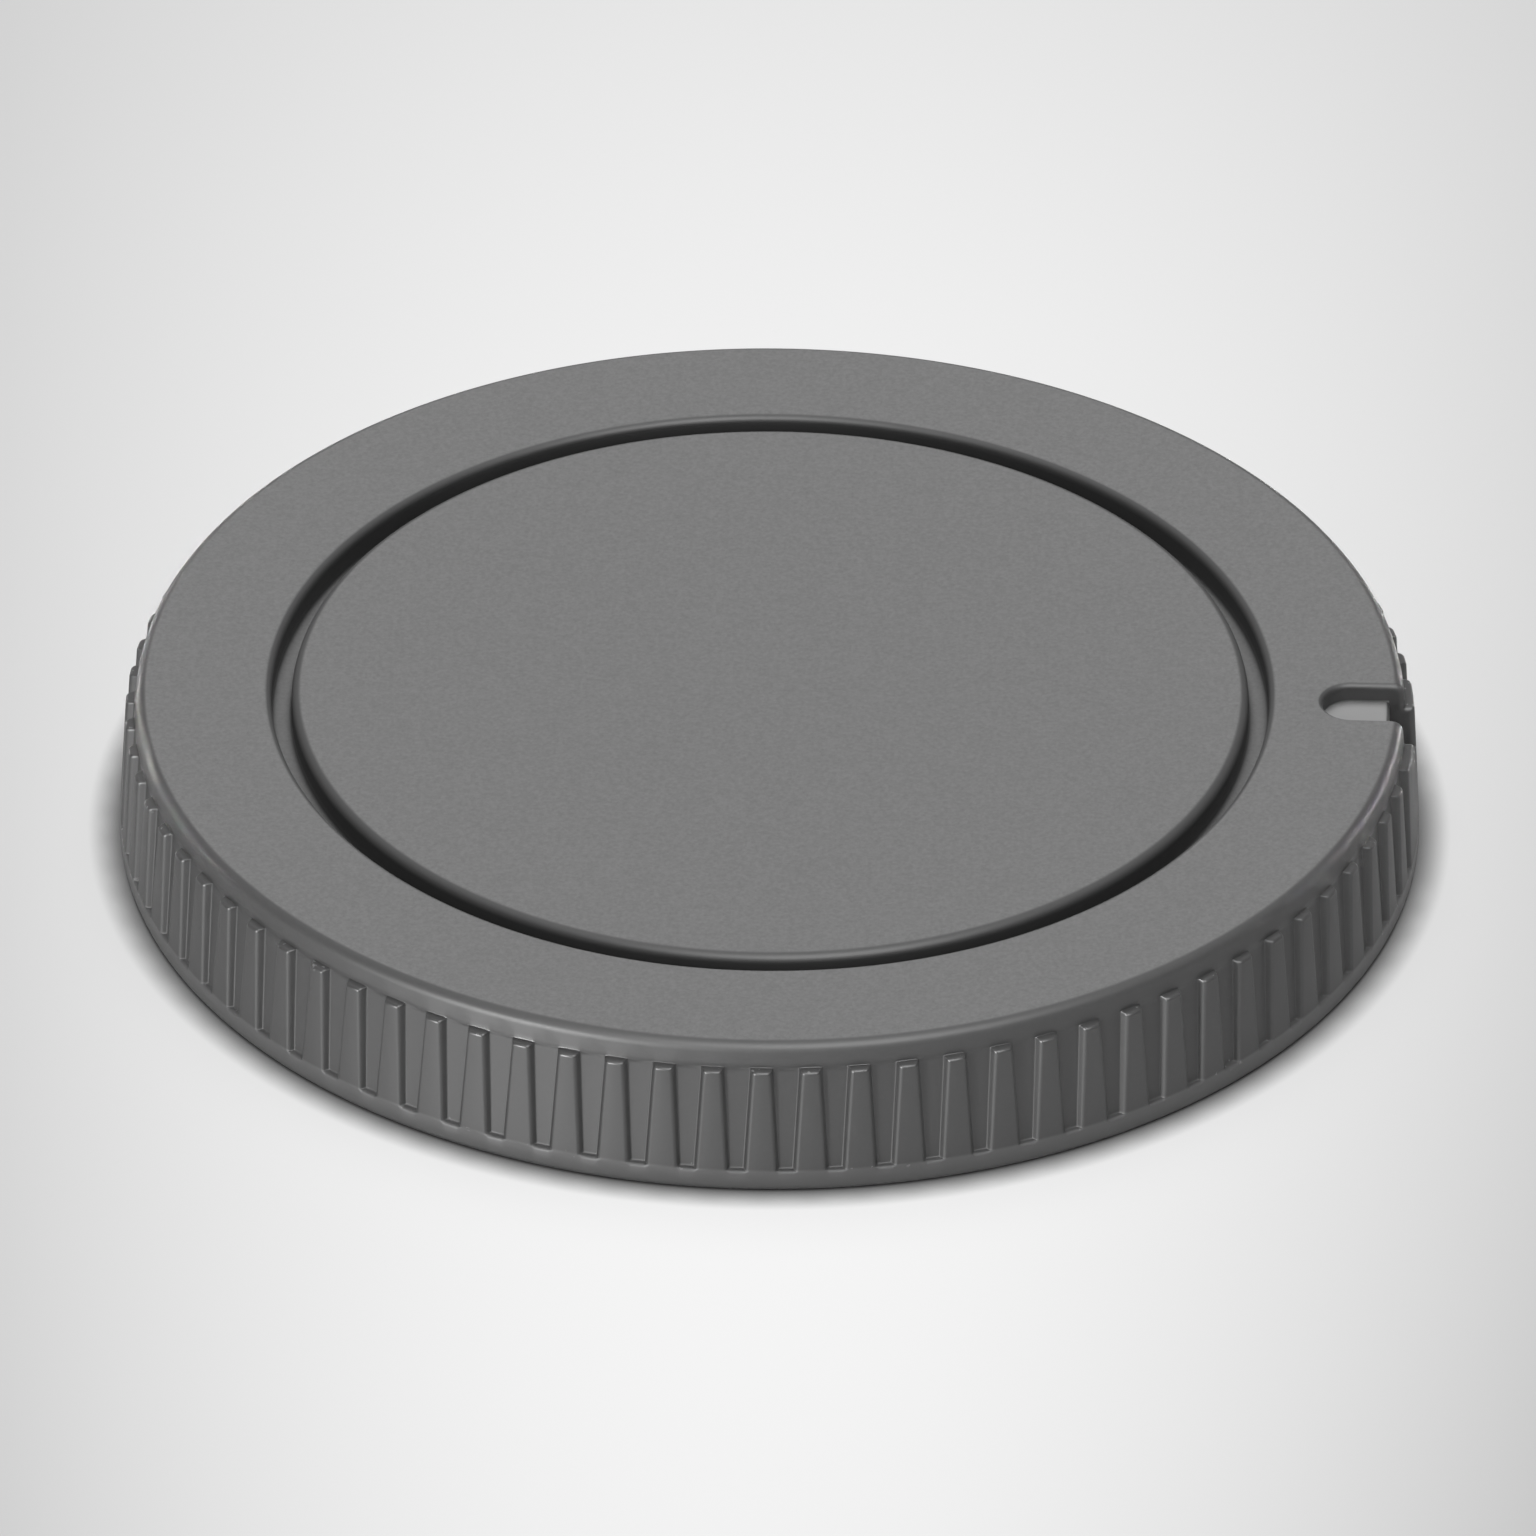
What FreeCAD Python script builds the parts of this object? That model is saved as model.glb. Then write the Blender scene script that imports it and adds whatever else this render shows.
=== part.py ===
"""Camera body cap: one moulded plastic piece that closes the lens mount of a camera.

The cap is a round plate with a short skirt. The skirt carries the finger grip outside, and a
collar under the plate carries three bayonet lugs that turn behind the claws of the camera's mount.
The origin is at the centre of the rim that the cap rests on, +Z points up through the face, and
the index mark points along +X. Lengths are in millimetres and angles in degrees.
"""
import FreeCAD, Part
import math
import os
import Sketcher

# Driving sizes: each one can be changed by itself.
SIZES = {
    # plate and skirt
    "height": 7.8,              # rim to face
    "lip_radius": 31.0,         # outside of the plain lip at the foot of the skirt
    "lip_height": 1.12,         # the lip, below the grip
    "lip_chamfer": 0.3,         # bevelled foot of the lip
    "band_inset": 0.82,         # the plain band under the face stands this far inside the lip
    "edge_chamfer": 0.28,       # broken edge between face and band
    "skirt_wall": 1.6,          # skirt thickness at the rim
    "skirt_draft": 0.5,         # how far the inside of the skirt leans in up to the plate
    "plate_thickness": 2.5,     # face to underside, outside the collar
    "web_thickness": 2.3,       # face to underside, inside the collar
    # ring groove in the face
    "groove_radius": 22.65,     # inner wall of the groove
    "groove_width": 1.22,
    "groove_depth": 1.5,
    "groove_draft": 0.06,       # how far each wall leans in
    "groove_root": 0.25,        # bevel between each wall and the floor
    "groove_chamfer": 0.3,      # broken edges between face and groove
    # finger grip
    "rib_count": 83,            # equal steps round the skirt, the index pad's among them
    "rib_drop": 1.28,           # face to the tops of the ribs
    "rib_top_inset": 0.4,       # the top of a rib stands this far inside the lip
    "rib_foot_inset": 0.05,     # and its foot this far
    "rib_top_width": 0.85,
    "rib_foot_width": 1.42,
    "rib_flank_slope": 0.35,    # how far a flank leans out for each mm of depth
    "rib_bite": 0.18,           # depth of a rib's root below the band
    "gap_depth": 0.3,           # depth of the gaps between ribs, where they end on the lip
    # index pad, slot and notch
    "pad_steps": 4,             # rib places that the pad covers
    "mark_width": 2.9,
    "mark_length": 3.2,         # slot, from its rounded end to the notch
    "mark_depth": 0.95,
    "notch_inset": 0.68,        # the back of the notch stands this far inside the band
    "notch_depth": 3.4,         # face to the foot of the notch
    # bayonet
    "collar_radius": 21.7,
    "collar_wall": 1.5,
    "collar_recess": 1.3,       # the collar ends this far inside the rim
    "collar_chamfer": 0.4,      # foot of the collar between the lugs
    "collar_root": 0.3,         # bevel where the collar meets the plate
    "lug_reach": 1.2,           # how far the lugs stand out from the collar
    "lug_thickness": 1.6,
    "lug_span": 46.0,           # angle that one lug covers
    "lug_count": 3,
    "lug_offset": 60.0,         # angle from the index mark to the middle of the first lug
    "lug_bite": 0.5,            # depth of a lug's root in the collar
    "lug_lead": 0.5,            # chamfer on the end of a lug that enters first
    "stop_span": 4.5,           # angle that the turning stop covers
    # seat for the front of the camera's mount ring
    "seat_height": 0.3,
    "seat_lug_gap": 0.7,        # between the lugs and the seat, seen along the axis
    "seat_skirt_gap": 0.5,      # between the seat and the skirt
}


class Size:
    """A number from the sheet, as a starting value and as the expression that drives it."""

    def __init__(self, value, text):
        self.value = value
        self.text = text

    def join(self, sign, other, flipped=False):
        if not isinstance(other, Size):
            other = Size(float(other), repr(float(other)))
        left, right = (other, self) if flipped else (self, other)
        if sign == "+":
            value = left.value + right.value
        elif sign == "-":
            value = left.value - right.value
        elif sign == "*":
            value = left.value * right.value
        else:
            value = left.value / right.value
        return Size(value, f"({left.text} {sign} {right.text})")

    def __add__(self, other):
        return self.join("+", other)

    def __radd__(self, other):
        return self.join("+", other, flipped=True)

    def __sub__(self, other):
        return self.join("-", other)

    def __rsub__(self, other):
        return self.join("-", other, flipped=True)

    def __mul__(self, other):
        return self.join("*", other)

    def __rmul__(self, other):
        return self.join("*", other, flipped=True)

    def __truediv__(self, other):
        return self.join("/", other)

    def __rtruediv__(self, other):
        return self.join("/", other, flipped=True)

    def __neg__(self):
        return self.join("*", -1.0)


def sine(angle):
    return Size(math.sin(math.radians(angle.value)), f"sin({angle.text} * 1 deg)")


def cosine(angle):
    return Size(math.cos(math.radians(angle.value)), f"cos({angle.text} * 1 deg)")


def root(size):
    return Size(math.sqrt(size.value), f"sqrt({size.text})")


def on_circle(radius, angle):
    """A corner at a radius and an angle."""
    return radius * cosine(angle), radius * sine(angle)


def origin_feature(role):
    """One of the body's own base planes or axes."""
    return next(item for item in body.Origin.OriginFeatures if item.Role == role)


def new_sketch(name, plane, level=None, turn=None):
    """A sketch on a base plane of the body, raised to a level and turned about its centre."""
    sketch = body.newObject("Sketcher::SketchObject", name)
    sketch.AttachmentSupport = [(origin_feature(plane), "")]
    sketch.MapMode = "FlatFace"
    if level is not None:
        sketch.setExpression("AttachmentOffset.Base.z", level.text)
    if turn is not None:
        sketch.AttachmentOffset.Rotation = FreeCAD.Rotation(FreeCAD.Vector(0, 0, 1), turn.value)
        sketch.setExpression("AttachmentOffset.Rotation.Angle", turn.text)
    return sketch


def drive_last(sketch, size):
    """Bind the sketch's newest dimension to the sheet."""
    sketch.setExpression(f"Constraints[{sketch.ConstraintCount - 1}]", size.text)


def fix_coordinate(sketch, edge, end, kind, size):
    """Dimension one coordinate of an edge's end from the origin, or lay it on the axis."""
    if isinstance(size, Size):
        sketch.addConstraint(Sketcher.Constraint(kind, -1, 1, edge, end, size.value))
        drive_last(sketch, size)
    else:
        axis = -2 if kind == "DistanceX" else -1
        sketch.addConstraint(Sketcher.Constraint("PointOnObject", edge, end, axis))


def arc_between(first, last, radius, turn):
    """An arc under half a circle; turn is 1 anticlockwise and -1 clockwise."""
    chord = last - first
    middle = (first + last) * 0.5
    inward = FreeCAD.Vector(-chord.y, chord.x, 0) * (turn / chord.Length)
    rise = radius - math.sqrt(max(radius ** 2 - (chord.Length / 2) ** 2, 0.0))
    return Part.Arc(first, middle - inward * rise, last)


def draw(sketch, steps):
    """Draw a closed outline. A step is a corner (x, y), or (x, y, radius, turn) where the
    stretch that ends in the corner is an arc. Each corner is dimensioned from the origin."""
    positions = []
    for step in steps:
        x, y = (item.value if isinstance(item, Size) else float(item) for item in step[:2])
        positions.append(FreeCAD.Vector(x, y, 0))
    edges = []
    for index, step in enumerate(steps):
        first, last = positions[index - 1], positions[index]
        if len(step) == 2:
            edges.append((sketch.addGeometry(Part.LineSegment(first, last), False), 1, 2))
            continue
        radius, turn = step[2:]
        edge = sketch.addGeometry(arc_between(first, last, radius.value, turn), False)
        # the ends of a sketched arc run anticlockwise
        edges.append((edge, 1, 2) if turn > 0 else (edge, 2, 1))
        sketch.addConstraint(Sketcher.Constraint("Radius", edge, radius.value))
        drive_last(sketch, radius)
    for index, step in enumerate(steps):
        edge, start, end = edges[index]
        following, begin, finish = edges[(index + 1) % len(edges)]
        sketch.addConstraint(Sketcher.Constraint("Coincident", edge, end, following, begin))
        fix_coordinate(sketch, edge, end, "DistanceX", step[0])
        fix_coordinate(sketch, edge, end, "DistanceY", step[1])
    document.recompute()


def add_feature(kind, name, **settings):
    """A feature of the body, with plain settings as numbers and sizes as expressions."""
    feature = body.newObject(f"PartDesign::{kind}", name)
    for key, setting in settings.items():
        if isinstance(setting, Size):
            feature.setExpression(key, setting.text)
        else:
            setattr(feature, key, setting)
    body.Tip = feature
    document.recompute()
    return feature


document = FreeCAD.newDocument("camera_body_cap")
sheet = document.addObject("Spreadsheet::Sheet", "Sizes")
for row, (name, number) in enumerate(SIZES.items(), start=1):
    sheet.set(f"A{row}", name)
    sheet.set(f"B{row}", str(number))
    sheet.setAlias(f"B{row}", name)
document.recompute()
s = {name: Size(float(number), f"Sizes.{name}") for name, number in SIZES.items()}

body = document.addObject("PartDesign::Body", "body_cap")
body.Label = "body_cap"

# Levels and radii that follow from the driving sizes
face = s["height"]
plate_underside = face - s["plate_thickness"]
web_underside = face - s["web_thickness"]
seat_level = plate_underside - s["seat_height"]
rib_top = face - s["rib_drop"]
collar_end = s["collar_recess"]
lug_top = collar_end + s["lug_thickness"]
lip_radius = s["lip_radius"]
band_radius = lip_radius - s["band_inset"]
groove_inner = s["groove_radius"]
groove_outer = groove_inner + s["groove_width"]
skirt_rim = lip_radius - s["skirt_wall"]
skirt_root = skirt_rim - s["skirt_draft"]
collar_radius = s["collar_radius"]
collar_inner = collar_radius - s["collar_wall"]
lug_radius = collar_radius + s["lug_reach"]
seat_inner = lug_radius + s["seat_lug_gap"]
seat_outer = skirt_root - s["seat_skirt_gap"]
step_angle = 360 / s["rib_count"]

# Plate, skirt and collar: one section turned about the upright axis
groove_floor = face - s["groove_depth"]
groove_root = s["groove_root"]
groove_chamfer = s["groove_chamfer"]
inner_foot = groove_inner + s["groove_draft"]
outer_foot = groove_outer - s["groove_draft"]
edge_chamfer = s["edge_chamfer"]
lip_chamfer = s["lip_chamfer"]
collar_chamfer = s["collar_chamfer"]
collar_root = s["collar_root"]
section = new_sketch("section", "XZ_Plane")
draw(section, [
    (0, web_underside),
    (collar_inner, web_underside),
    (collar_inner, collar_end),
    (collar_radius - collar_chamfer, collar_end),
    (collar_radius, collar_end + collar_chamfer),
    (collar_radius, plate_underside - collar_root),
    (collar_radius + collar_root, plate_underside),
    (seat_inner, plate_underside),
    (seat_inner, seat_level),
    (seat_outer, seat_level),
    (seat_outer, plate_underside),
    (skirt_root, plate_underside),
    (skirt_rim, 0),
    (lip_radius - lip_chamfer, 0),
    (lip_radius, lip_chamfer),
    (lip_radius, s["lip_height"]),
    (lip_radius - s["gap_depth"], s["lip_height"]),
    (band_radius, face - edge_chamfer),
    (band_radius - edge_chamfer, face),
    (groove_outer + groove_chamfer, face),
    (groove_outer, face - groove_chamfer),
    (outer_foot, groove_floor + groove_root),
    (outer_foot - groove_root, groove_floor),
    (inner_foot + groove_root, groove_floor),
    (inner_foot, groove_floor + groove_root),
    (groove_inner, face - groove_chamfer),
    (groove_inner - groove_chamfer, face),
    (0, face),
])
add_feature("Revolution", "plate_skirt_collar", Profile=section,
            ReferenceAxis=(section, ["V_Axis"]), Angle=360)


# Finger grip: ribs that widen downwards and run flush into the lip
def grip_section(name, level, radius, width, turn, spread):
    """Level section of a rib, flat outside, or of the index pad, which follows the round skirt.
    spread is the angle from the middle of the pad to the middle of its outermost rib place."""
    sketch = new_sketch(name, "XY_Plane", level, turn)
    root_radius = band_radius - s["rib_bite"]
    lean = s["rib_flank_slope"]
    half = width / 2
    if spread:
        half = half + radius * sine(spread)
        lean = lean - sine(spread)
    side = root(radius * radius - half * half)
    root_half = half + (radius - root_radius) * lean
    outer_corner = (side, half, radius, 1) if spread else (side, half)
    draw(sketch, [(side, -half), outer_corner, (root_radius, root_half), (root_radius, -root_half)])
    return sketch


def grip_piece(name, turn=None, spread=None):
    """A raised piece of the grip, lofted from the lip up to the tops of the ribs."""
    foot_radius = lip_radius - s["rib_foot_inset"]
    top_radius = lip_radius - s["rib_top_inset"]
    foot = grip_section(f"{name}_foot", s["lip_height"], foot_radius, s["rib_foot_width"], turn, spread)
    top = grip_section(f"{name}_top", rib_top, top_radius, s["rib_top_width"], turn, spread)
    return add_feature("AdditiveLoft", name, Profile=foot, Sections=[top], Ruled=True)


upright_axis = (origin_feature("Z_Axis"), [""])
ribs_left = s["rib_count"] - s["pad_steps"]
rib = grip_piece("rib", turn=(s["pad_steps"] + 1) / 2 * step_angle)
add_feature("PolarPattern", "ribs", Originals=[rib], Axis=upright_axis,
            Angle=(ribs_left - 1) * step_angle, Occurrences=ribs_left)
grip_piece("index_pad", spread=(s["pad_steps"] - 1) / 2 * step_angle)

# Index mark: a shallow slot in the face that drops into a notch in the skirt
half_mark = s["mark_width"] / 2
notch_back = band_radius - s["notch_inset"]
slot_tip = notch_back - s["mark_length"]
beyond = lip_radius + half_mark
slot = new_sketch("index_slot_outline", "XY_Plane", face)
draw(slot, [
    (beyond, -half_mark),
    (beyond, half_mark),
    (slot_tip + half_mark, half_mark),
    (slot_tip, 0, half_mark, 1),
    (slot_tip + half_mark, -half_mark, half_mark, 1),
])
add_feature("Pocket", "index_slot", Profile=slot, Length=s["mark_depth"])
notch = new_sketch("index_notch_outline", "XY_Plane", face)
draw(notch, [(notch_back, -half_mark), (beyond, -half_mark), (beyond, half_mark), (notch_back, half_mark)])
add_feature("Pocket", "index_notch", Profile=notch, Length=s["notch_depth"])


# Bayonet: lugs at the end of the collar, and a turning stop over the first of them
def lug_sector(name, level, start, end):
    """A ring sector between two angles, from inside the collar out to the tips of the lugs."""
    sketch = new_sketch(name, "XY_Plane", level, s["lug_offset"])
    inner = collar_radius - s["lug_bite"]
    draw(sketch, [
        (*on_circle(inner, start), inner, -1),
        on_circle(lug_radius, start),
        (*on_circle(lug_radius, end), lug_radius, 1),
        on_circle(inner, end),
    ])
    return sketch


half_span = s["lug_span"] / 2
lug_outline = lug_sector("lug_outline", collar_end, -half_span, half_span)
lug = add_feature("Pad", "lug", Profile=lug_outline, Length=s["lug_thickness"])
add_feature("PolarPattern", "lugs", Originals=[lug], Axis=upright_axis,
            Angle=360, Occurrences=s["lug_count"])
stop_outline = lug_sector("stop_outline", lug_top, half_span - s["stop_span"], half_span)
add_feature("Pad", "turning_stop", Profile=stop_outline, Length=plate_underside - lug_top)


def leading_edges(shape):
    """The upper edge at the end of each lug that slides behind a claw first."""
    middle = (collar_radius.value + lug_radius.value) / 2
    wanted = []
    for place in range(SIZES["lug_count"]):
        angle = math.radians(SIZES["lug_offset"] - half_span.value + place * 360 / SIZES["lug_count"])
        wanted.append(FreeCAD.Vector(middle * math.cos(angle), middle * math.sin(angle), lug_top.value))
    return [f"Edge{number}" for number, edge in enumerate(shape.Edges, start=1)
            if any(edge.CenterOfMass.distanceToPoint(spot) < 0.05 for spot in wanted)]


lead_edges = leading_edges(body.Shape)
add_feature("Chamfer", "lug_leads", Base=(body.Tip, lead_edges), Size=s["lug_lead"])

# Check every feature, then write the piece
for item in document.Objects:
    faults = [state for state in item.State if state in ("Invalid", "Error")]
    if faults:
        raise RuntimeError(f"{item.Name} is {faults}")
piece = body.Shape
if piece.isNull() or not piece.isValid() or len(piece.Solids) != 1:
    raise RuntimeError("the cap is not one valid solid")
if len(lead_edges) != SIZES["lug_count"]:
    raise RuntimeError("a lug has no leading edge")
os.makedirs("parts", exist_ok=True)
piece.exportStep(f"parts/{body.Label}.step")
box = piece.BoundBox
print(f"{body.Label}: {box.XLength:.2f} x {box.YLength:.2f} x {box.ZLength:.2f} mm, {piece.Volume:.1f} mm3")
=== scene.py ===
# %% [markdown]
# # A camera body cap, dressed for the studio
# The object is one moulded piece of grey plastic. It is a disc with a ring groove in its face, a
# skirt with finger ribs, a small index mark on the right, and a bayonet collar underneath. The
# frame brings the solid from the construction model. This lesson builds a finer skin over it,
# with the small rounds that catch the light, and gives it a plastic with grain.

# %% Load the frame and keep its box
import math

import bmesh
import bpy
from mathutils import Matrix, Vector


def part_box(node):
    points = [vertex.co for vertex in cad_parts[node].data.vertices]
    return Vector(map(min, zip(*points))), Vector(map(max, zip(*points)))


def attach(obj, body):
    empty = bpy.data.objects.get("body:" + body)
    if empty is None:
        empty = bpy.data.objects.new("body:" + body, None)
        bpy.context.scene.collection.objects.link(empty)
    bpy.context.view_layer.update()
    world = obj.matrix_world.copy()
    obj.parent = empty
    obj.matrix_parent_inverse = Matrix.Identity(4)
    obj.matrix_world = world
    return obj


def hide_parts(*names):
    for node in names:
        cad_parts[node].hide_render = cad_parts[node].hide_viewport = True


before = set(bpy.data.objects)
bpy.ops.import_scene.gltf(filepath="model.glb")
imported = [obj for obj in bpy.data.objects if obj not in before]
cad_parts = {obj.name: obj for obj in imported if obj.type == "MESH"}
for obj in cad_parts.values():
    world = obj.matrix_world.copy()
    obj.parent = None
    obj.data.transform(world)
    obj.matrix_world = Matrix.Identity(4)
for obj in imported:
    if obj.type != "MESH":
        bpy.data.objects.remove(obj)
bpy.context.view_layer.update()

low, high = (Vector(corner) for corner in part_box("body_cap"))
print("cap box in mm:", [round(number * 1000, 2) for number in (*low, *high)])

# %% [markdown]
# Sizes are named once, in metres. The overall radius and height come from the frame, so that the
# skin always fits the solid. The other values are real sizes of the moulding, read from the photo
# or shared with the construction model.

# %% Sizes of the moulding
mm = 0.001
lip_radius = (high.x - low.x) / 2
face = high.z
lip_top = 1.12 * mm
band_radius = lip_radius - 0.82 * mm
groove_inner = 22.77 * mm
groove_outer = groove_inner + 1.0 * mm
groove_floor = face - 1.5 * mm
groove_draft = 0.06 * mm
rib_top = face - 1.28 * mm
rib_count = 83
pad_steps = 4
rib_top_inset = 0.28 * mm
gap_depth = 0.3 * mm
rib_top_width = 0.85 * mm
rib_foot_width = 1.42 * mm
rib_flank_lean = 0.35
plate_under = face - 2.5 * mm
web_under = face - 2.3 * mm
seat_level = plate_under - 0.3 * mm
skirt_rim = lip_radius - 1.6 * mm
skirt_root = skirt_rim - 0.5 * mm
seat_outer = skirt_root - 0.5 * mm
collar_radius = 21.7 * mm
collar_inner = collar_radius - 1.5 * mm
collar_end = 1.3 * mm
collar_chamfer = 0.4 * mm
lug_reach = 1.2 * mm
lug_radius = collar_radius + lug_reach
lug_top = collar_end + 1.6 * mm
seat_inner = lug_radius + 0.7 * mm
lug_span = math.radians(46.0)
lug_offset = math.radians(60.0)
stop_span = math.radians(4.5)
lug_lead = 0.5 * mm
lug_count = 3
pitch = 2 * math.pi / rib_count
print("rib pitch at the lip in mm:", round(pitch * lip_radius / mm, 3))

# %% [markdown]
# Every edge of a moulding is slightly round, because the steel of the mould is. Blender's bevel
# could round the finished skin, but with one width for all edges. Here a section is written as
# corners, each with its own radius, and this helper turns a corner into a short arc. It gives
# back one list of points per corner, so that later cells can pick the ones they need.


# %% Round the corners of a section
def rounded(corners, points=4):
    """Arcs for the inner corners (r, z, radius) of an open outline, one list for each corner."""
    arcs = []
    for before, corner, after in zip(corners, corners[1:], corners[2:]):
        here = Vector(corner[:2])
        back = (Vector(before[:2]) - here).normalized()
        ahead = (Vector(after[:2]) - here).normalized()
        half_opening = back.angle(ahead) / 2
        reach = corner[2] / math.tan(half_opening)
        centre = here + (back + ahead).normalized() * (corner[2] / math.sin(half_opening))
        first = here + back * reach - centre
        last = here + ahead * reach - centre
        if corner[2] == 0:
            arcs.append([tuple(here)])
            continue
        spokes = [first.normalized().slerp(last.normalized(), step / (points - 1))
                  for step in range(points)]
        arcs.append([tuple(centre + spoke * corner[2]) for spoke in spokes])
    return arcs


test_arc = rounded([(0, 1, 0), (1, 1, 0.5), (1, 0, 0)])[0]
print("a rounded corner:", [tuple(round(number, 2) for number in point) for point in test_arc])

# %% [markdown]
# The moulding follows a rule: it is a section turned about the axis, and the section changes in
# a few places as it goes round. Through a gap of the grip it is the plain skirt. Through a rib it
# stands further out, and through a lug or the turning stop the collar does. So one row of the
# skin needs one point on the plain section and a shift towards each of the others. The skin
# could also be a plain turned body with ribs joined on, but then the feet of the ribs would meet
# the skirt in hard lines.

# %% Rounds of the moulding
disc_round = 0.48 * mm
ring_round = 0.38 * mm
groove_root = 0.25 * mm
face_round = 0.56 * mm
rib_top_root = 0.06 * mm
rib_top_edge = 0.17 * mm
gap_root = 0.08 * mm
lip_edge = 0.16 * mm
skirt_round = 0.3 * mm
seat_round = 0.06 * mm
collar_root = 0.25 * mm
collar_edge = 0.2 * mm
web_root = 0.4 * mm
lug_root = 0.1 * mm
lug_top_edge = 0.15 * mm
lug_foot_edge = 0.2 * mm
flat_ring = 0.06 * mm
print("widest round in mm:", round(max(disc_round, ring_round, face_round) / mm, 2))


# %% Walls that lean
def gap_wall(z):
    """Radius of the plain band and of the floors between the ribs, which are one cone."""
    return band_radius + (lip_radius - gap_depth - band_radius) * (face - z) / (face - lip_top)


def rib_wall(z):
    """Radius of the ribs' outer faces, and of the lip below them."""
    return lip_radius - rib_top_inset * max(z - lip_top, 0) / (rib_top - lip_top)


print("a rib's top stands out by", round((rib_wall(rib_top) - gap_wall(rib_top)) / mm, 2), "mm")

# %% Plain section, from the middle of the face to the middle of the underside
face_arcs = rounded([
    (0, face, 0),
    (groove_inner, face, disc_round),
    (groove_inner + groove_draft, groove_floor, groove_root),
    (groove_outer - groove_draft, groove_floor, groove_root),
    (groove_outer, face, ring_round),
    (band_radius, face, face_round),
    (gap_wall(rib_top), rib_top, 0),
], points=5)
# A narrow flat ring beside each round keeps the shading of the face even.
face_arcs[0].insert(0, (groove_inner - disc_round - flat_ring, face))
face_arcs[3].append((groove_outer + ring_round + flat_ring, face))
face_arcs[4].insert(0, (band_radius - face_round - flat_ring, face))
rib_arcs = rounded([
    (band_radius, face, 0),
    (gap_wall(rib_top), rib_top, rib_top_root),
    (rib_wall(rib_top), rib_top, rib_top_edge),
    (lip_radius, lip_top, 0),
], points=5)
foot_arcs = rounded([
    (gap_wall(rib_top), rib_top, 0),
    (gap_wall(lip_top), lip_top, gap_root),
    (lip_radius, lip_top, lip_edge),
    (lip_radius, 0, 0),
])
under_arcs = rounded([
    (lip_radius, lip_top, 0),
    (lip_radius, 0, skirt_round),
    (skirt_rim, 0, skirt_round),
    (skirt_root, plate_under, skirt_round),
    (seat_outer, plate_under, 0),
    (seat_outer, seat_level, seat_round),
    (seat_inner, seat_level, seat_round),
    (seat_inner, plate_under, 0),
    (collar_radius, plate_under, collar_root),
    (collar_radius, lug_top, 0),
], points=3)
lug_arcs = rounded([
    (collar_radius, plate_under, 0),
    (collar_radius, lug_top, lug_root),
    (lug_radius, lug_top, lug_top_edge),
    (lug_radius, collar_end, lug_foot_edge),
    (collar_inner, collar_end, 0),
], points=3)
inner_arcs = rounded([
    (collar_radius, collar_end, 0),
    (collar_inner, collar_end, collar_edge),
    (collar_inner, web_under, web_root),
    (0, web_under, 0),
], points=3)
all_arcs = (*face_arcs, *rib_arcs, *foot_arcs, *under_arcs, *inner_arcs)
print("corners of the plain section:", len(all_arcs))

# %% Rows of the skin, each with its shifts
rows = []


def add_row(plain, rib=None, lug=None, stop=None, taper=0.0, lead=0.0):
    """One row: its point on the plain section, and where it lies on the other sections."""
    rib, lug = rib or plain, lug or plain
    rows.append({"plain": plain, "rib": rib, "lug": lug, "stop": stop or lug,
                 "taper": taper, "lead": lead})


add_row((0, face), taper=1.0)
for arc in face_arcs:
    for point in arc:
        add_row(point, taper=1.0)
for arc in rib_arcs:
    for r, z in arc:
        add_row((gap_wall(z), z), rib=(r, z), taper=1.0)
for arc in foot_arcs:
    for r, z in arc:
        add_row((r, z), rib=(rib_wall(z), z))
for arc in under_arcs[:-1]:
    for point in arc:
        add_row(point)
for r, z in under_arcs[-1]:
    add_row((r, z), stop=(r + lug_reach, z))
# Between the lugs the collar is bare, and only its foot has a chamfer.
bare_corners = [(collar_radius, lug_top)] * 2
bare_corners.append((collar_radius, collar_end + collar_chamfer))
for number, (arc, bare) in enumerate(zip(lug_arcs, bare_corners)):
    for r, z in arc:
        add_row(bare, lug=(r, z), stop=(lug_radius, z), lead=float(number < 2))
add_row((collar_radius - collar_chamfer, collar_end))
for arc in inner_arcs:
    for point in arc:
        add_row(point)
add_row((0, web_under))
print("rows of the skin:", len(rows))

# %% [markdown]
# Across a rib the skin needs a few columns more closely set at the corners. The outline of one
# rib place runs from the middle of one gap to just before the middle of the next. Each column
# keeps two numbers: how far it lies from the rib's corner, and how far out it stands, from 0 on
# the floor of the gap to 1 on the rib. A third says which side's corner it follows when the rib
# grows wider towards its foot.

# %% Columns across one rib place
rib_depth = 0.35 * mm
rib_corner = 0.2 * mm
rib_side_root = 0.08 * mm
half_top = rib_top_width / 2
half_pitch = pitch * lip_radius / 2
corner_arc, root_arc = rounded([
    (0, 0, 0),
    (half_top, 0, rib_corner),
    (half_top + rib_flank_lean * rib_depth, -rib_depth, rib_side_root),
    (half_pitch, -rib_depth, 0),
], points=3)
right_side = [(x - half_top, 1 + y / rib_depth, 1) for x, y in (*corner_arc, *root_arc)]
left_side = [(-x, out, -1) for x, out, side in reversed(right_side)]
columns = [(-half_pitch, 0.0, 0), *left_side, (0.0, 1.0, 0), *right_side]
print("columns of the skin:", len(columns) * rib_count)

# %% [markdown]
# Geometry Nodes and shaders are both trees of nodes, and long sums are hard to read as links. So
# one small class stands for an output of a node. Its operators add Math nodes, or Vector Math
# nodes where the output is a vector, and one method adds a node of any other kind.


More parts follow.
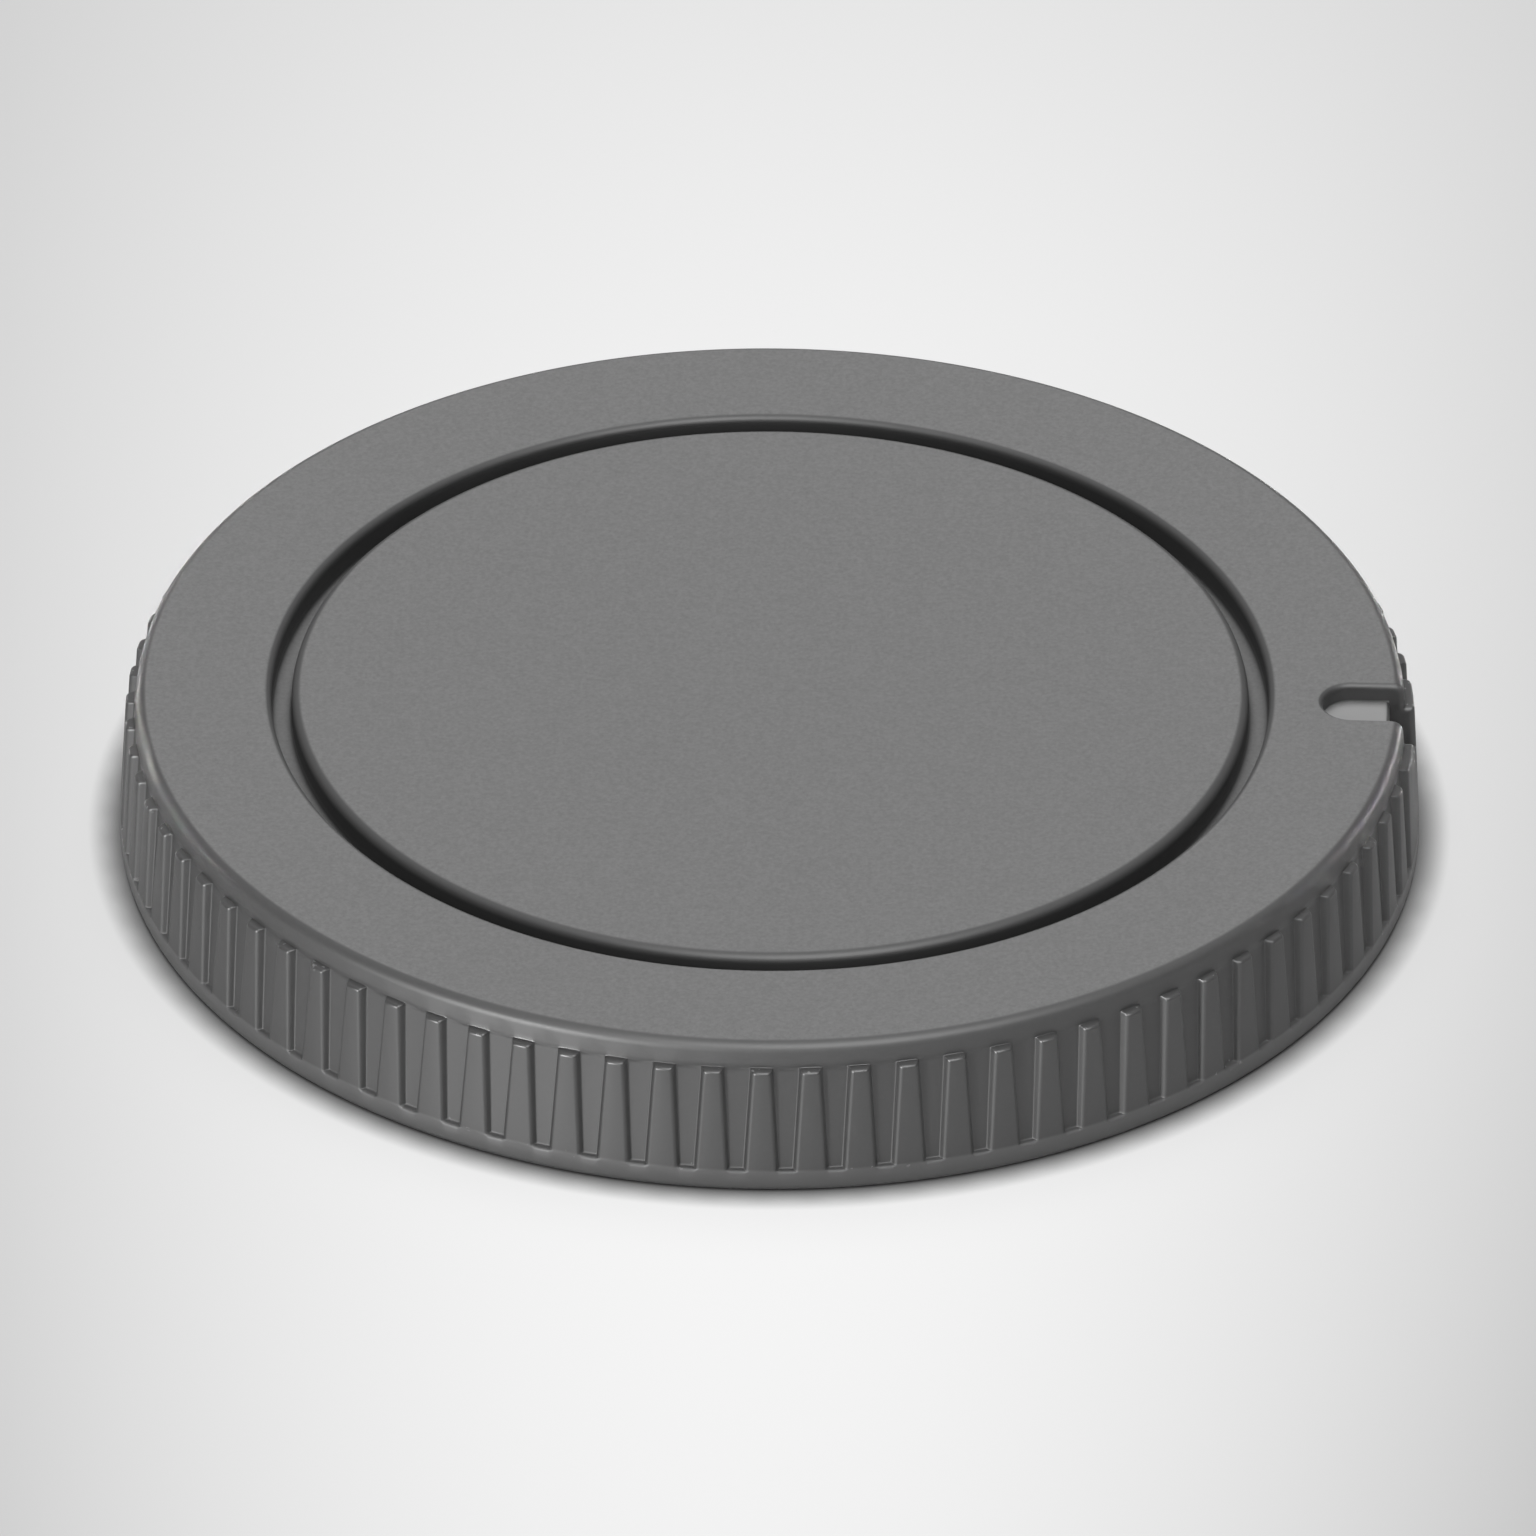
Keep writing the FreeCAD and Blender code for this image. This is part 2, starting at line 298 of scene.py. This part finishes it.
# %% Sums as Python expressions
class Wire:
    """An output of a node. A sum of wires and numbers adds the nodes that work it out."""

    def __init__(self, tree, socket):
        self.tree = tree
        self.socket = socket

    def node(self, kind, settings=None, inputs=None, output=0):
        """A node of any kind: its settings first, then the values or wires of its sockets."""
        node = self.tree.nodes.new(kind)
        for name, setting in (settings or {}).items():
            setattr(node, name, setting)
        for name, value in (inputs or {}).items():
            if isinstance(value, Wire):
                self.tree.links.new(value.socket, node.inputs[name])
            else:
                node.inputs[name].default_value = value
        return Wire(self.tree, node.outputs[output])

    def maths(self, operation, *values):
        return self.node("ShaderNodeMath", {"operation": operation}, dict(enumerate(values)))

    def parts(self, vector):
        """The three parts of a vector, as wires of their own."""
        first = self.node("ShaderNodeSeparateXYZ", inputs={0: vector}, output="X")
        return [Wire(self.tree, output) for output in first.socket.node.outputs]

    def vector_maths(self, operation, inputs):
        return self.node("ShaderNodeVectorMath", {"operation": operation}, inputs)

    def __add__(self, other):
        if self.socket.type == "VECTOR":
            return self.vector_maths("ADD", {0: self, 1: other})
        return self.maths("ADD", self, other)

    def __sub__(self, other):
        return self.maths("SUBTRACT", self, other)

    def __mul__(self, other):
        if self.socket.type == "VECTOR":
            return self.vector_maths("SCALE", {0: self, "Scale": other})
        return self.maths("MULTIPLY", self, other)

    def __truediv__(self, other):
        return self.maths("DIVIDE", self, other)

    def __radd__(self, other):
        return self.maths("ADD", other, self)

    def __rsub__(self, other):
        return self.maths("SUBTRACT", other, self)

    def __rmul__(self, other):
        return self * other

    def __rtruediv__(self, other):
        return self.maths("DIVIDE", other, self)

    def __lt__(self, other):
        return self.maths("LESS_THAN", self, other)

    def __gt__(self, other):
        return self.maths("GREATER_THAN", self, other)

    def __abs__(self):
        return self.maths("ABSOLUTE", self)

    def __pow__(self, other):
        return self.maths("POWER", self, other)

    def root(self):
        return self.maths("SQRT", self)

    def floor(self):
        return self.maths("FLOOR", self)

    def at_least(self, other):
        return self.maths("MAXIMUM", self, other)


print("a sum adds one node for each sign")


# %% Lines that carry the rows and the columns
def line_mesh(name, points, notes):
    """A mesh of loose points, with named notes on each point for Geometry Nodes to read."""
    mesh = bpy.data.meshes.new(name)
    mesh.from_pydata(points, [(i, i + 1) for i in range(len(points) - 1)], [])
    for note, values in notes.items():
        kind = "FLOAT_VECTOR" if isinstance(values[0], Vector) else "FLOAT"
        layer = mesh.attributes.new(note, kind, "POINT")
        if kind == "FLOAT_VECTOR":
            layer.data.foreach_set("vector", [number for value in values for number in value])
        else:
            layer.data.foreach_set("value", values)
    return mesh


def shift(row, other):
    (r, z), (other_r, other_z) = row["plain"], row[other]
    return Vector((other_r - r, 0, other_z - z))


section = line_mesh("cap_section", [(row["plain"][0], 0, row["plain"][1]) for row in rows], {
    "rib": [shift(row, "rib") for row in rows],
    "lug": [shift(row, "lug") for row in rows],
    "stop": [shift(row, "stop") for row in rows],
    "taper": [row["taper"] for row in rows],
    "lead": [row["lead"] for row in rows],
})
outline = line_mesh("rib_outline", [(along, 0, 0) for along, out, side in columns], {
    "out": [float(out) for along, out, side in columns],
    "side": [float(side) for along, out, side in columns],
})
cap = bpy.data.objects.new("moulded_cap", section)
rib_outline = bpy.data.objects.new("rib_outline", outline)
for item in (cap, rib_outline):
    bpy.context.scene.collection.objects.link(item)
print("section points:", len(section.vertices), "outline points:", len(outline.vertices))

# %% [markdown]
# The index mark is a slot in the face that drops into a notch in the skirt. It is cut out of the
# skin with a second solid. A plain block would leave knife edges, so this cutter grows wider
# where it comes near the skin, along a quarter circle, and the cut comes out with round edges.

# %% Sizes of the index mark
half_mark = 1.45 * mm
mark_length = 3.2 * mm
notch_back = band_radius - 0.68 * mm
slot_middle = notch_back - mark_length + half_mark
slot_floor = face - 0.95 * mm
notch_floor = face - 3.4 * mm
mark_soft = 0.3 * mm
cutter_top = face + 0.2 * mm
cutter_end = lip_radius + 0.8 * mm
skin_line = [(groove_outer, face), *face_arcs[-1], *(point for arc in rib_arcs for point in arc)]
skin_line.append((lip_radius, lip_top))
print("the mark reaches in to radius", round((slot_middle - half_mark) / mm, 2), "mm")


# %% How deep a place lies under the skin
def depth_under_skin(r, z):
    """Distance to the skin in the section plane, negative outside it."""
    place = Vector((r, z))
    nearest = 1.0
    wall = lip_radius
    for start, end in zip(skin_line, skin_line[1:]):
        start, end = Vector(start), Vector(end)
        along = end - start
        share = (place - start).dot(along) / along.length_squared if along.length else 0.0
        nearest = min(nearest, (place - start - along * min(max(share, 0.0), 1.0)).length)
        if end.y <= z <= start.y and start.y > end.y:
            wall = start.x + (end.x - start.x) * (start.y - z) / (start.y - end.y)
    return -nearest if z > face or r > wall else nearest


def flare(depth):
    """How much wider the cut is at this depth, so that its edge comes out round."""
    shallow = 0.05 * mark_soft
    inside = mark_soft - max(depth, shallow)
    if inside <= 0:
        return 0.0
    height = math.sqrt(mark_soft ** 2 - inside ** 2)
    beyond = max(shallow - depth, 0.0) * inside / height
    return min(mark_soft - height + beyond, 3 * mark_soft)


print("flare at the skin:", round(flare(0.0) / mm, 3), "mm")


# %% Stations along the cutter
def mark_floor(x):
    """Height of the cut's floor: the slot, its rounded end, then the notch."""
    if x >= notch_back:
        return notch_floor - flare(depth_under_skin(math.hypot(x, half_mark), notch_floor))
    return slot_floor - flare(notch_back - x)


def cutter_station(x, angle, levels):
    """Left and right edges of the cutter at one place along it, from the floor up."""
    floor_level = mark_floor(x) if angle == 0 else slot_floor
    left, right = [], []
    for level in range(levels):
        z = floor_level + (cutter_top - floor_level) * level / (levels - 1)
        half = half_mark + flare(depth_under_skin(math.hypot(x, half_mark), z))
        place = x - half * math.sin(angle)
        left.append((place, half * math.cos(angle), z))
        right.append((place, -half * math.cos(angle), z))
    return left, right


levels = 48
tip_stations = 12
station_gap = 0.06 * mm
hair = 0.001 * mm
tip_angles = [math.radians(90) * (1 - station / tip_stations) for station in range(tip_stations)]
stations = [cutter_station(slot_middle, angle, levels) for angle in tip_angles]
straight_count = int((cutter_end - slot_middle) / station_gap)
straight = [slot_middle + station_gap * station for station in range(straight_count)]
straight += [notch_back - hair, notch_back]
stations += [cutter_station(x, 0.0, levels) for x in sorted(straight)]
print("stations along the cutter:", len(stations))

# %% Build the cutter
shape = bmesh.new()
grid = [[[shape.verts.new(point) for point in side] for side in station] for station in stations]
for (left, right), (next_left, next_right) in zip(grid, grid[1:]):
    for level in range(levels - 1):
        shape.faces.new((left[level], next_left[level], next_left[level + 1], left[level + 1]))
        shape.faces.new((right[level + 1], next_right[level + 1], next_right[level], right[level]))
    shape.faces.new((left[0], right[0], next_right[0], next_left[0]))
    shape.faces.new((next_left[-1], next_right[-1], right[-1], left[-1]))
end_left, end_right = grid[-1]
shape.faces.new((*end_left, *reversed(end_right)))
cutter_weld = 0.0002 * mm
bmesh.ops.remove_doubles(shape, verts=shape.verts, dist=cutter_weld)
bmesh.ops.recalc_face_normals(shape, faces=shape.faces)
open_edges = sum(not edge.is_manifold for edge in shape.edges)
cutter_mesh = bpy.data.meshes.new("mark_cutter")
shape.to_mesh(cutter_mesh)
shape.free()
mark_cutter = bpy.data.objects.new("mark_cutter", cutter_mesh)
bpy.context.scene.collection.objects.link(mark_cutter)
print("cutter faces:", len(cutter_mesh.polygons), "open edges:", open_edges)

# %% [markdown]
# Now the skin itself, in one Geometry Nodes tree. A flat grid has one vertex for each row and
# column. Each vertex looks up its row in the section and its column in the rib outline, works out
# its angle and its place in the section plane, and is turned to that angle. The tree keeps the
# number of ribs, the width of the pad and the lugs as named inputs.

# %% The tree's inputs
tree = bpy.data.node_groups.new("turned_moulding", "GeometryNodeTree")
tree_inputs = {
    "Section": "NodeSocketGeometry",
    "Rib outline": "NodeSocketObject",
    "Mark cutter": "NodeSocketObject",
    "Plastic": "NodeSocketMaterial",
    "Rib count": "NodeSocketInt",
    "Pad steps": "NodeSocketInt",
    "Rib top width": "NodeSocketFloat",
    "Rib foot width": "NodeSocketFloat",
    "Lip radius": "NodeSocketFloat",
    "Lug count": "NodeSocketInt",
    "Lug angle": "NodeSocketFloat",
    "Lug span": "NodeSocketFloat",
    "Lug radius": "NodeSocketFloat",
    "Lug lead": "NodeSocketFloat",
    "Stop span": "NodeSocketFloat",
}
for name, kind in tree_inputs.items():
    tree.interface.new_socket(name=name, in_out="INPUT", socket_type=kind)
tree.interface.new_socket(name="Skin", in_out="OUTPUT", socket_type="NodeSocketGeometry")
group_in = tree.nodes.new("NodeGroupInput")
given = {name: Wire(tree, group_in.outputs[name]) for name in tree_inputs}
print("named inputs:", ", ".join(given))


# %% Look up the row and the column of each vertex
def points_of(geometry):
    return geometry.node("GeometryNodeAttributeDomainSize", {"component": "MESH"},
                         {"Geometry": geometry})


def shape_of(item):
    return item.node("GeometryNodeObjectInfo", inputs={"Object": item}, output="Geometry")


def note_at(geometry, place, note, kind="FLOAT"):
    """A named note, or the position, of the point that has this number."""
    if note == "position":
        value = geometry.node("GeometryNodeInputPosition")
    else:
        value = geometry.node("GeometryNodeInputNamedAttribute", {"data_type": kind}, {"Name": note})
    return geometry.node("GeometryNodeSampleIndex", {"data_type": kind, "domain": "POINT"},
                         {"Geometry": geometry, "Value": value, "Index": place})


lines = given["Section"]
rib_line = shape_of(given["Rib outline"])
row_count, column_count = points_of(lines), points_of(rib_line)
number = lines.node("GeometryNodeInputIndex")
column = (number / row_count).floor()
row = number - column * row_count
rib_place = (column / column_count).floor()
across = column - rib_place * column_count
print("a vertex finds its row and column from its number")

# %% Angle of each column
full_turn = 2 * math.pi
step_turn = full_turn / given["Rib count"]
wider = 1 - note_at(lines, row, "taper")
width = given["Rib top width"] + (given["Rib foot width"] - given["Rib top width"]) * wider
outline_point = note_at(rib_line, across, "position", "FLOAT_VECTOR")
from_corner = lines.node("ShaderNodeSeparateXYZ", inputs={0: outline_point})
along_skirt = from_corner + note_at(rib_line, across, "side") * width / 2
places_left = ((given["Rib count"] - 1) / 2).floor()
angle = (rib_place - places_left + 0.5) * step_turn + along_skirt / given["Lip radius"]
on_pad = abs(angle) < (given["Pad steps"] - 1) / 2 * step_turn
out = note_at(rib_line, across, "out").at_least(on_pad)
print("the ribs are spread over the full turn, and the pad joins the ones at the index mark")

# %% Where the lugs and the turning stop are
lug_step = full_turn / given["Lug count"]
from_lug = angle - given["Lug angle"]
around = from_lug - lug_step * (from_lug / lug_step + 0.5).floor()
half_span = given["Lug span"] / 2
on_lug = abs(around) < half_span
on_stop = on_lug * (around > half_span - given["Stop span"]) * (abs(from_lug) < lug_step / 2)
dip = (given["Lug lead"] - (around + half_span) * given["Lug radius"]).at_least(0) * on_lug
print("each lug dips at the end that goes in first")

# %% Place the vertices and close the skin
place = note_at(lines, row, "position", "FLOAT_VECTOR")
place = place + note_at(lines, row, "rib", "FLOAT_VECTOR") * out
place = place + note_at(lines, row, "lug", "FLOAT_VECTOR") * (on_lug * (1 - on_stop))
place = place + note_at(lines, row, "stop", "FLOAT_VECTOR") * on_stop
down = lines.node("ShaderNodeCombineXYZ", inputs={"Z": -1.0})
place = place + down * (dip * note_at(lines, row, "lead"))
turned = lines.node("ShaderNodeVectorRotate", {"rotation_type": "Z_AXIS"},
                    {"Vector": place, "Angle": angle})
sheet = lines.node("GeometryNodeMeshGrid", inputs={
    "Vertices X": column_count * given["Rib count"] + 1,
    "Vertices Y": row_count,
})
skin = lines.node("GeometryNodeSetPosition", inputs={"Geometry": sheet, "Position": turned})
skin_weld = 0.0005 * mm
skin = lines.node("GeometryNodeMergeByDistance", inputs={"Geometry": skin, "Distance": skin_weld})
skin = lines.node("GeometryNodeFlipFaces", inputs={"Mesh": skin})
skin = lines.node("GeometryNodeMeshBoolean", {"operation": "DIFFERENCE", "solver": "EXACT"},
                  {"Mesh 1": skin, "Mesh 2": shape_of(given["Mark cutter"])})
print("the sheet is closed into a skin, and the index mark is cut out of it")

# %% Smooth faces, sharp inner corners, and the end of the tree
sharp_from = math.radians(48)
edge_turn = lines.node("GeometryNodeInputMeshEdgeAngle", output="Unsigned Angle")
skin = lines.node("GeometryNodeSetShadeSmooth", {"domain": "FACE"}, {0: skin, "Shade Smooth": True})
skin = lines.node("GeometryNodeSetShadeSmooth", {"domain": "EDGE"},
                  {0: skin, "Selection": edge_turn > sharp_from, "Shade Smooth": False})
skin = lines.node("GeometryNodeRealizeInstances", inputs={0: skin})
skin = lines.node("GeometryNodeSetMaterial", inputs={0: skin, "Material": given["Plastic"]})
group_out = tree.nodes.new("NodeGroupOutput")
tree.links.new(skin.socket, group_out.inputs["Skin"])
print("nodes in the tree:", len(tree.nodes))

# %% [markdown]
# The plastic is one material for the whole moulding, as on the real cap. The face and the floor
# of its groove have a fine matte grain, which stops where an edge begins to turn, because the
# mould was polished there. These matte places are painted a lighter grey, partly for the grain
# and partly as a painted sheen of the light from behind. Skirt, ribs and edges are smoother, so
# each edge shows a dark line and then a thin line of light. Small nicks have worn a paler grey
# into the proud edges. Light and shade are painted in three more places: a paler lip for the
# light the floor throws onto it, painted shade on the deep walls of the groove, and a painted
# highlight on the floor of the index slot. Two materials could split the matte from the smooth,
# but their border would be a hard line. So one material finds its places from the same sizes as
# the skin, and blends there.

# %% The plastic
plastic = bpy.data.materials.new("cap_plastic")
plastic.use_nodes = True
nodes = plastic.node_tree.nodes
shader = nodes["Principled BSDF"]
# This wire has no socket of its own. It only adds nodes to the plastic.
start = Wire(plastic.node_tree, None)
spot = start.node("ShaderNodeTexCoord", output="Object")
across_cap, along_cap, height = start.parts(spot)
from_axis = (across_cap * across_cap + along_cap * along_cap).root()


def noise(scale, detail=2.0, roughness=0.5):
    return start.node("ShaderNodeTexNoise", {"noise_dimensions": "3D"}, {
        "Vector": spot, "Scale": scale, "Detail": detail, "Roughness": roughness})


def ramp(value, lowest, highest, first=0.0, last=1.0):
    return start.node("ShaderNodeMapRange", {"clamp": True, "interpolation_type": "SMOOTHSTEP"}, {
        "Value": value, "From Min": lowest, "From Max": highest, "To Min": first, "To Max": last})


def near(level, far, close):
    """1 within the close distance of this height, 0 past the far one."""
    return ramp(abs(height - level), far, close)


print("nodes for places on the cap:", len(nodes))

# %% Where the plastic is matte
groove_margin = 0.2 * mm
slot_start = slot_middle - half_mark - 0.1 * mm
at_face = ramp(height, face - 0.04 * mm, face - 0.006 * mm)
in_slot = (from_axis > slot_start) * (from_axis < notch_back) * (across_cap > 0.0)
# Painted highlight: the floor of the index slot is painted a light grey for the sheen of the light
# from behind.
slot_floor_sheen = near(slot_floor, 0.08 * mm, 0.02 * mm) * in_slot
in_groove = (from_axis > groove_inner - groove_margin) * (from_axis < groove_outer + groove_margin)
in_groove = in_groove * (1 - in_slot)
on_groove_floor = ramp(height, groove_floor + 0.25 * mm, groove_floor + 0.02 * mm)
# Painted shade: the walls deep in the groove are painted nearly black, where shade falls in the
# narrow recess.
painted_groove_shade = ramp(height, face - 0.3 * mm, face - 0.55 * mm) * in_groove * (1 - on_groove_floor)
groove_share = 0.6
matte = at_face + on_groove_floor * in_groove * groove_share
on_round = ramp(height, face - 0.5 * mm, face - 0.25 * mm) * (1 - matte)
print("nodes for the matte places:", len(nodes))

# %% Grain and nicks
grain = noise(scale=5200.0, detail=3.0, roughness=0.6)
speck = noise(scale=3200.0)
patch = noise(scale=160.0)
near_lip = near(lip_top, 0.25 * mm, 0.05 * mm)
near_rib_top = near(rib_top, 0.3 * mm, 0.05 * mm)
proud_radius = gap_wall(rib_top) + 0.05 * mm
worn = (near_lip + near_rib_top) * (from_axis > proud_radius)
# Painted light: the lip is painted paler for the light the floor throws up onto it.
painted_lip_light = ramp(height, lip_top + 0.15 * mm, lip_top - 0.05 * mm)
nick_start, nick_full = 0.68, 0.76
nicks = ramp(speck + (patch - 0.5) * 0.5, nick_start, nick_full) * worn
print("nodes for grain and nicks:", len(nodes))


# %% Colour and gloss
def grey(level):
    return level, level, level, 1


def blended(factor, first, second):
    return start.node("ShaderNodeMix", {"data_type": "RGBA", "clamp_factor": False}, {
        "Factor": factor, "A": first, "B": second}, output=2)


smooth_grey = grey(0.104)
# The lighter grey of the matte places is partly the grain finish and partly a painted sheen of the
# light from behind.
matte_and_sheen_grey = grey(0.193)
slot_sheen_grey = grey(0.31)
# Dark grey of the painted shade in the groove.
groove_shade_grey = grey(0.045)
nick_grey = grey(0.34)
# How far each place goes towards the lighter grey: the matte places, the painted light on the lip,
# and the grain.
paler = matte + painted_lip_light * 0.9 + (grain - 0.5) * (0.15 + matte * 1.1)
shade = blended(paler, smooth_grey, matte_and_sheen_grey)
shade = blended(painted_groove_shade, shade, groove_shade_grey)
# The painted highlight on the slot floor.
shade = blended(slot_floor_sheen, shade, slot_sheen_grey)
shade = blended(nicks * 0.8, shade, nick_grey)
roughness = 0.57 + matte * 0.05 - near_rib_top * 0.17 - on_round * 0.08 + (grain - 0.5) * 0.08
grain_height = grain * (0.12 + matte * 0.88)
relief = start.node("ShaderNodeBump", inputs={
    "Strength": 0.6, "Distance": 0.02 * mm, "Height": grain_height})
for wire, socket in ((shade, "Base Color"), (roughness, "Roughness"), (relief, "Normal")):
    plastic.node_tree.links.new(wire.socket, shader.inputs[socket])
print("nodes in the plastic:", len(nodes))

# %% Run the tree and keep a plain mesh
modifier = cap.modifiers.new("turned_moulding", "NODES")
modifier.node_group = tree
settings = {
    "Rib outline": rib_outline,
    "Mark cutter": mark_cutter,
    "Plastic": plastic,
    "Rib count": rib_count,
    "Pad steps": pad_steps,
    "Rib top width": rib_top_width,
    "Rib foot width": rib_foot_width,
    "Lip radius": lip_radius,
    "Lug count": lug_count,
    "Lug angle": lug_offset,
    "Lug span": lug_span,
    "Lug radius": lug_radius,
    "Lug lead": lug_lead,
    "Stop span": stop_span,
}
for name, value in settings.items():
    modifier[tree.interface.items_tree[name].identifier] = value
even = cap.modifiers.new("even_shading", "WEIGHTED_NORMAL")
even.keep_sharp = True
depsgraph = bpy.context.evaluated_depsgraph_get()
finished = bpy.data.meshes.new_from_object(cap.evaluated_get(depsgraph), depsgraph=depsgraph)
cap.modifiers.clear()
cap.data = finished
finished.materials.clear()
finished.materials.append(plastic)
finished.polygons.foreach_set("material_index", [0] * len(finished.polygons))
for helper in (mark_cutter, rib_outline):
    bpy.data.objects.remove(helper)
print("the skin is a plain mesh, and the helpers are gone")

# %% Measure the skin
probe = bmesh.new()
probe.from_mesh(finished)
open_edges = sum(not edge.is_manifold for edge in probe.edges)
volume = probe.calc_volume(signed=True) / mm ** 3
triangles = sum(len(polygon.verts) - 2 for polygon in probe.faces)
probe.free()
print("triangles:", triangles, "open edges:", open_edges, "volume in mm3:", round(volume, 1))

# %% Put the skin in the place of the plain solid
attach(cap, "root")
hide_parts("body_cap")
print("materials:", [slot.name for slot in finished.materials])

# %% [markdown]
# The stage is a pale floor, larger than the view. Lamps alone would leave such a floor uneven, so
# the lens and the plastic's gloss mostly see a glow laid over it, which falls off a little to the
# sides and the back. A small share of the floor takes the lamps' light and the cap's soft shadow.
# The glow also carries a painted contact shadow right under the rim, where a real cap touches the
# paper. The camera stands far away with a long lens, a third of the way up from the floor.

# %% The floor
floor_reach = 1.2
floor_signs = ((-1, -1), (1, -1), (1, 1), (-1, 1))
floor_corners = [(x * floor_reach, y * floor_reach, 0) for x, y in floor_signs]
floor_mesh = bpy.data.meshes.new("floor")
floor_mesh.from_pydata(floor_corners, [], [(0, 1, 2, 3)])
floor = bpy.data.objects.new("floor", floor_mesh)
bpy.context.scene.collection.objects.link(floor)
print("floor edge in metres:", 2 * floor_reach)

# %% The paper on the floor
view_half_width = 36 * mm
view_half_depth = 66 * mm
share_lit = 0.15
lit_level = 0.85
least_glow = 0.5
contact_reach = 1.6 * mm
paper = bpy.data.materials.new("pale_paper")
paper.use_nodes = True
paper_nodes = paper.node_tree.nodes
paper_shader = paper_nodes["Principled BSDF"]
paper_shader.inputs["Base Color"].default_value = grey(0.82)
paper_shader.inputs["Roughness"].default_value = 0.9
lit_paper = Wire(paper.node_tree, paper_shader.outputs[0])
floor_x, floor_y, floor_z = lit_paper.parts(lit_paper.node("ShaderNodeTexCoord", output="Object"))
aside = floor_x / view_half_width
away = floor_y / view_half_depth
# The glow is fitted as a sum of powers: brightest in the middle, and dimmer at the sides and ends.
glow = 0.92 - away * 0.035 - aside * aside * 0.214
glow = glow - away * away * 0.066 + aside * aside * away * 0.084
glow = ((glow - share_lit * lit_level) / (1 - share_lit)).at_least(least_glow)
# Painted contact shadow: the glow is darkened by occlusion right under the rim.
contact_shadow = lit_paper.node("ShaderNodeAmbientOcclusion", {"samples": 16},
                         {"Distance": contact_reach}, output="AO")
even_paper = lit_paper.node("ShaderNodeEmission", inputs={"Color": glow * contact_shadow ** 3.0})
by_lens = lit_paper.node("ShaderNodeLightPath", output="Is Camera Ray")
by_gloss = Wire(paper.node_tree, by_lens.socket.node.outputs["Is Glossy Ray"])
even_share = (by_lens + by_gloss) * (1 - share_lit)
paper_mix = lit_paper.node("ShaderNodeMixShader",
                           inputs={0: even_share, 1: lit_paper, 2: even_paper})
paper.node_tree.links.new(paper_mix.socket, paper_nodes["Material Output"].inputs["Surface"])
floor_mesh.materials.append(paper)
print("nodes in the paper:", len(paper_nodes))

# %% The camera
view_distance = 1.5
view_pitch = math.radians(33.66)
view_turn = math.radians(1.65)
view_roll = math.radians(0.33)
offset_right = 0.087 * mm
offset_up = 3.79 * mm
frame_pixels = 1536
pixels_per_mm = 21
focal_pixels = pixels_per_mm * view_distance / mm
turn = Matrix.Rotation(view_turn, 3, "Z")
right = turn @ Vector((1, 0, 0))
back = turn @ Vector((0, -math.cos(view_pitch), math.sin(view_pitch)))
up = turn @ Vector((0, math.sin(view_pitch), math.cos(view_pitch)))
camera_data = bpy.data.cameras.new("camera")
camera_data.sensor_width = 36.0
camera_data.lens = focal_pixels / frame_pixels * camera_data.sensor_width
camera = bpy.data.objects.new("camera", camera_data)
rolled_right = right * math.cos(view_roll) + up * math.sin(view_roll)
rolled_up = up * math.cos(view_roll) - right * math.sin(view_roll)
axes = Matrix((rolled_right, rolled_up, back)).transposed().to_4x4()
top_middle = Vector((0, 0, face))
spot_of_camera = top_middle + back * view_distance - right * offset_right - up * offset_up
camera.matrix_world = Matrix.Translation(spot_of_camera) @ axes
bpy.context.scene.collection.objects.link(camera)
bpy.context.scene.camera = camera
print("lens in mm:", round(camera_data.lens, 1))

# %% [markdown]
# A studio shot of a small dark part wants one large soft source. A bright world would do for the
# face, but the ribs would look flat. Here the large box stands high behind the cap and gives
# shade only, so the face is even, with no bright patch. A weak box in front opens the grip. Two
# lamps are for gloss only: the edge box draws the line of light on the rounds that face the lens,
# and the sheen box, low at the left, lays one soft bright band on the skirt.


# %% Lights and world
def soft_box(name, place, size, power):
    """A square area light that looks at the cap."""
    data = bpy.data.lights.new(name, "AREA")
    data.shape = "SQUARE"
    data.size = size
    data.energy = power
    lamp = bpy.data.objects.new(name, data)
    lamp.location = place
    lamp.rotation_euler = (Vector((0, 0, 0)) - Vector(place)).to_track_quat("-Z", "Y").to_euler()
    bpy.context.scene.collection.objects.link(lamp)
    return lamp


def seen_from_cap(turn, height, distance):
    """A place in the room, from its turn about the cap and its height over the floor, in degrees."""
    turn, height = math.radians(turn), math.radians(height)
    level = distance * math.cos(height)
    return level * math.cos(turn), level * math.sin(turn), distance * math.sin(height)


key_box = soft_box("key_box", seen_from_cap(92, 72, 0.9), size=0.7, power=9.0)
key_box.visible_glossy = False
soft_box("fill_box", seen_from_cap(248, 40, 0.9), size=0.5, power=0.9)
sheen_box = soft_box("sheen_box", seen_from_cap(232, 3.6, 0.8), size=0.1, power=13.0)
edge_box = soft_box("edge_box", seen_from_cap(286, 45, 0.8), size=0.6, power=9.0)
for gloss_lamp in (sheen_box, edge_box):
    gloss_lamp.visible_diffuse = False
world = bpy.data.worlds.new("studio")
world.use_nodes = True
background = world.node_tree.nodes["Background"]
background.inputs["Color"].default_value = grey(1.0)
background.inputs["Strength"].default_value = 0.03
bpy.context.scene.world = world
bpy.context.scene.view_settings.view_transform = "Standard"
